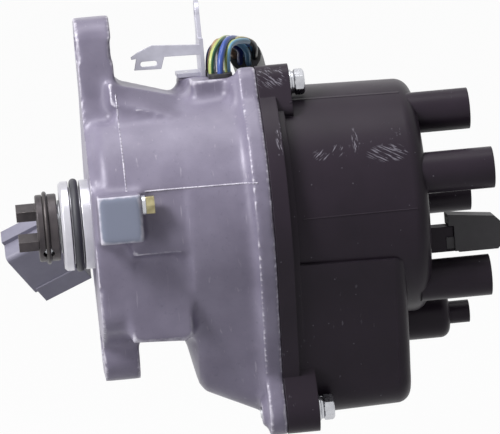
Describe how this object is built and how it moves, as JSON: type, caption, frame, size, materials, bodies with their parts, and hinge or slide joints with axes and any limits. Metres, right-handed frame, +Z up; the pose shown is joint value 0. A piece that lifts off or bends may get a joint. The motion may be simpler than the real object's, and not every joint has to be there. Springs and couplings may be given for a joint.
{
  "type": "ignition distributor",
  "caption": "Cast-bodied ignition distributor with a driven shaft and rotor, built-in coil and pickups, a cap with lead towers, and a short wiring tail with its connector.",
  "frame": {"origin": "on the shaft's axis, in the plane of the mounting face", "axes": "+X runs along the shaft from the mounting face towards the cap, +Z is up towards the upper ear and the wiring, and +Y is the far side"},
  "size_m": [0.1764, 0.138, 0.1535],
  "materials": {
    "cast_aluminium": "as-cast, lightly oxidised",
    "bronze": "bored",
    "seal_rubber": "moulded",
    "o_ring_rubber": "moulded",
    "bearing_steel": "ground",
    "pressed_steel": "pressed",
    "zinc_steel": "zinc plated",
    "coupling_steel": "sintered, oiled",
    "spring_steel": "drawn",
    "reluctor_steel": "sintered",
    "pickup_plastic": "moulded",
    "module_plastic": "moulded and potted",
    "laminations": "varnished",
    "terminal_brass": "stamped",
    "cover_plastic": "moulded",
    "rotor_plastic": "moulded",
    "cap_plastic": "moulded, scuffed",
    "vent_rubber": "moulded",
    "terminal_aluminium": "die cast",
    "carbon": "pressed carbon",
    "yellow_zinc": "yellow zinc plated",
    "bracket_steel": "zinc plated sheet",
    "grommet_rubber": "moulded",
    "wire_peach": "extruded",
    "wire_green": "extruded",
    "wire_blue": "extruded",
    "wire_dark_blue": "extruded",
    "wire_black": "extruded",
    "wire_white": "extruded",
    "wire_light_blue": "extruded",
    "wire_beige": "extruded",
    "sleeve_vinyl": "extruded vinyl",
    "connector_plastic": "moulded",
    "tinned_brass": "tin plated"
  },
  "bodies": {
    "housing": {"housing": "cast_aluminium", "nose_bush": "bronze", "nose_oil_seal": "seal_rubber", "nose_o_ring": "o_ring_rubber", "bearing_outer_ring": "bearing_steel", "bearing_retainer": "pressed_steel", "bowl_screws": "zinc_steel", "crank_pickup": "pickup_plastic", "tdc_pickup": "pickup_plastic", "cylinder_pickup": "pickup_plastic", "pickup_base": "pressed_steel", "igniter_module": "module_plastic", "noise_condenser": "zinc_steel", "coil_core": "laminations", "coil_body": "module_plastic", "coil_contact": "terminal_brass", "coil_screws": "zinc_steel", "dust_cover": "cover_plastic", "cap_seal": "seal_rubber", "cap": "cap_plastic", "cap_vent": "vent_rubber", "cap_terminal_1": "terminal_aluminium", "cap_terminal_2": "terminal_aluminium", "cap_terminal_3": "terminal_aluminium", "cap_terminal_4": "terminal_aluminium", "hv_link": "terminal_brass", "brush_spring": "spring_steel", "cap_screws": "zinc_steel", "cap_screw_washers": "zinc_steel", "ground_screw": "yellow_zinc", "ground_washer": "zinc_steel", "bracket": "bracket_steel", "bracket_screw": "zinc_steel", "harness_grommet": "grommet_rubber", "wire_1": "wire_peach", "wire_2": "wire_green", "wire_3": "wire_blue", "wire_4": "wire_dark_blue", "wire_5": "wire_black", "wire_6": "wire_white", "wire_7": "wire_light_blue", "wire_8": "wire_beige", "harness_sleeve": "sleeve_vinyl", "connector_shell": "connector_plastic", "connector_pins": "tinned_brass"},
    "shaft": {"shaft": "bearing_steel", "coupling_pin": "bearing_steel", "thrust_washer": "pressed_steel", "bearing_inner_ring": "bearing_steel", "crank_reluctor": "reluctor_steel", "tdc_reluctor": "reluctor_steel", "cylinder_reluctor": "reluctor_steel", "rotor": "rotor_plastic", "rotor_blade": "terminal_brass", "rotor_screw": "zinc_steel"},
    "cage": {"bearing_cage": "pressed_steel", "bearing_balls": "bearing_steel"},
    "coupling": {"coupling": "coupling_steel", "coupling_clip": "spring_steel"},
    "brush": {"carbon_brush": "carbon"}
  },
  "joints": [
    {"name": "shaft_spin", "type": "hinge", "parent": "housing", "child": "shaft", "pos_m": [0, 0, 0], "axis": [1, 0, 0], "continuous": true},
    {"name": "cage_spin", "type": "hinge", "parent": "housing", "child": "cage", "pos_m": [0, 0, 0], "axis": [1, 0, 0], "continuous": true},
    {"name": "coupling_rock", "type": "hinge", "parent": "shaft", "child": "coupling", "pos_m": [-0.0159, 0, 0], "axis": [0, -0.7193, -0.6947], "range_deg": [-1.5, 1.5]},
    {"name": "brush_slide", "type": "slide", "parent": "housing", "child": "brush", "axis": [1, 0, 0], "range_m": [0, 0.0008], "stiffness_N_per_m": 100, "deforming": ["brush_spring"]}
  ],
  "couplings": [
    {"joint": "cage_spin", "follows": "shaft_spin", "ratio": 0.3909}
  ]
}
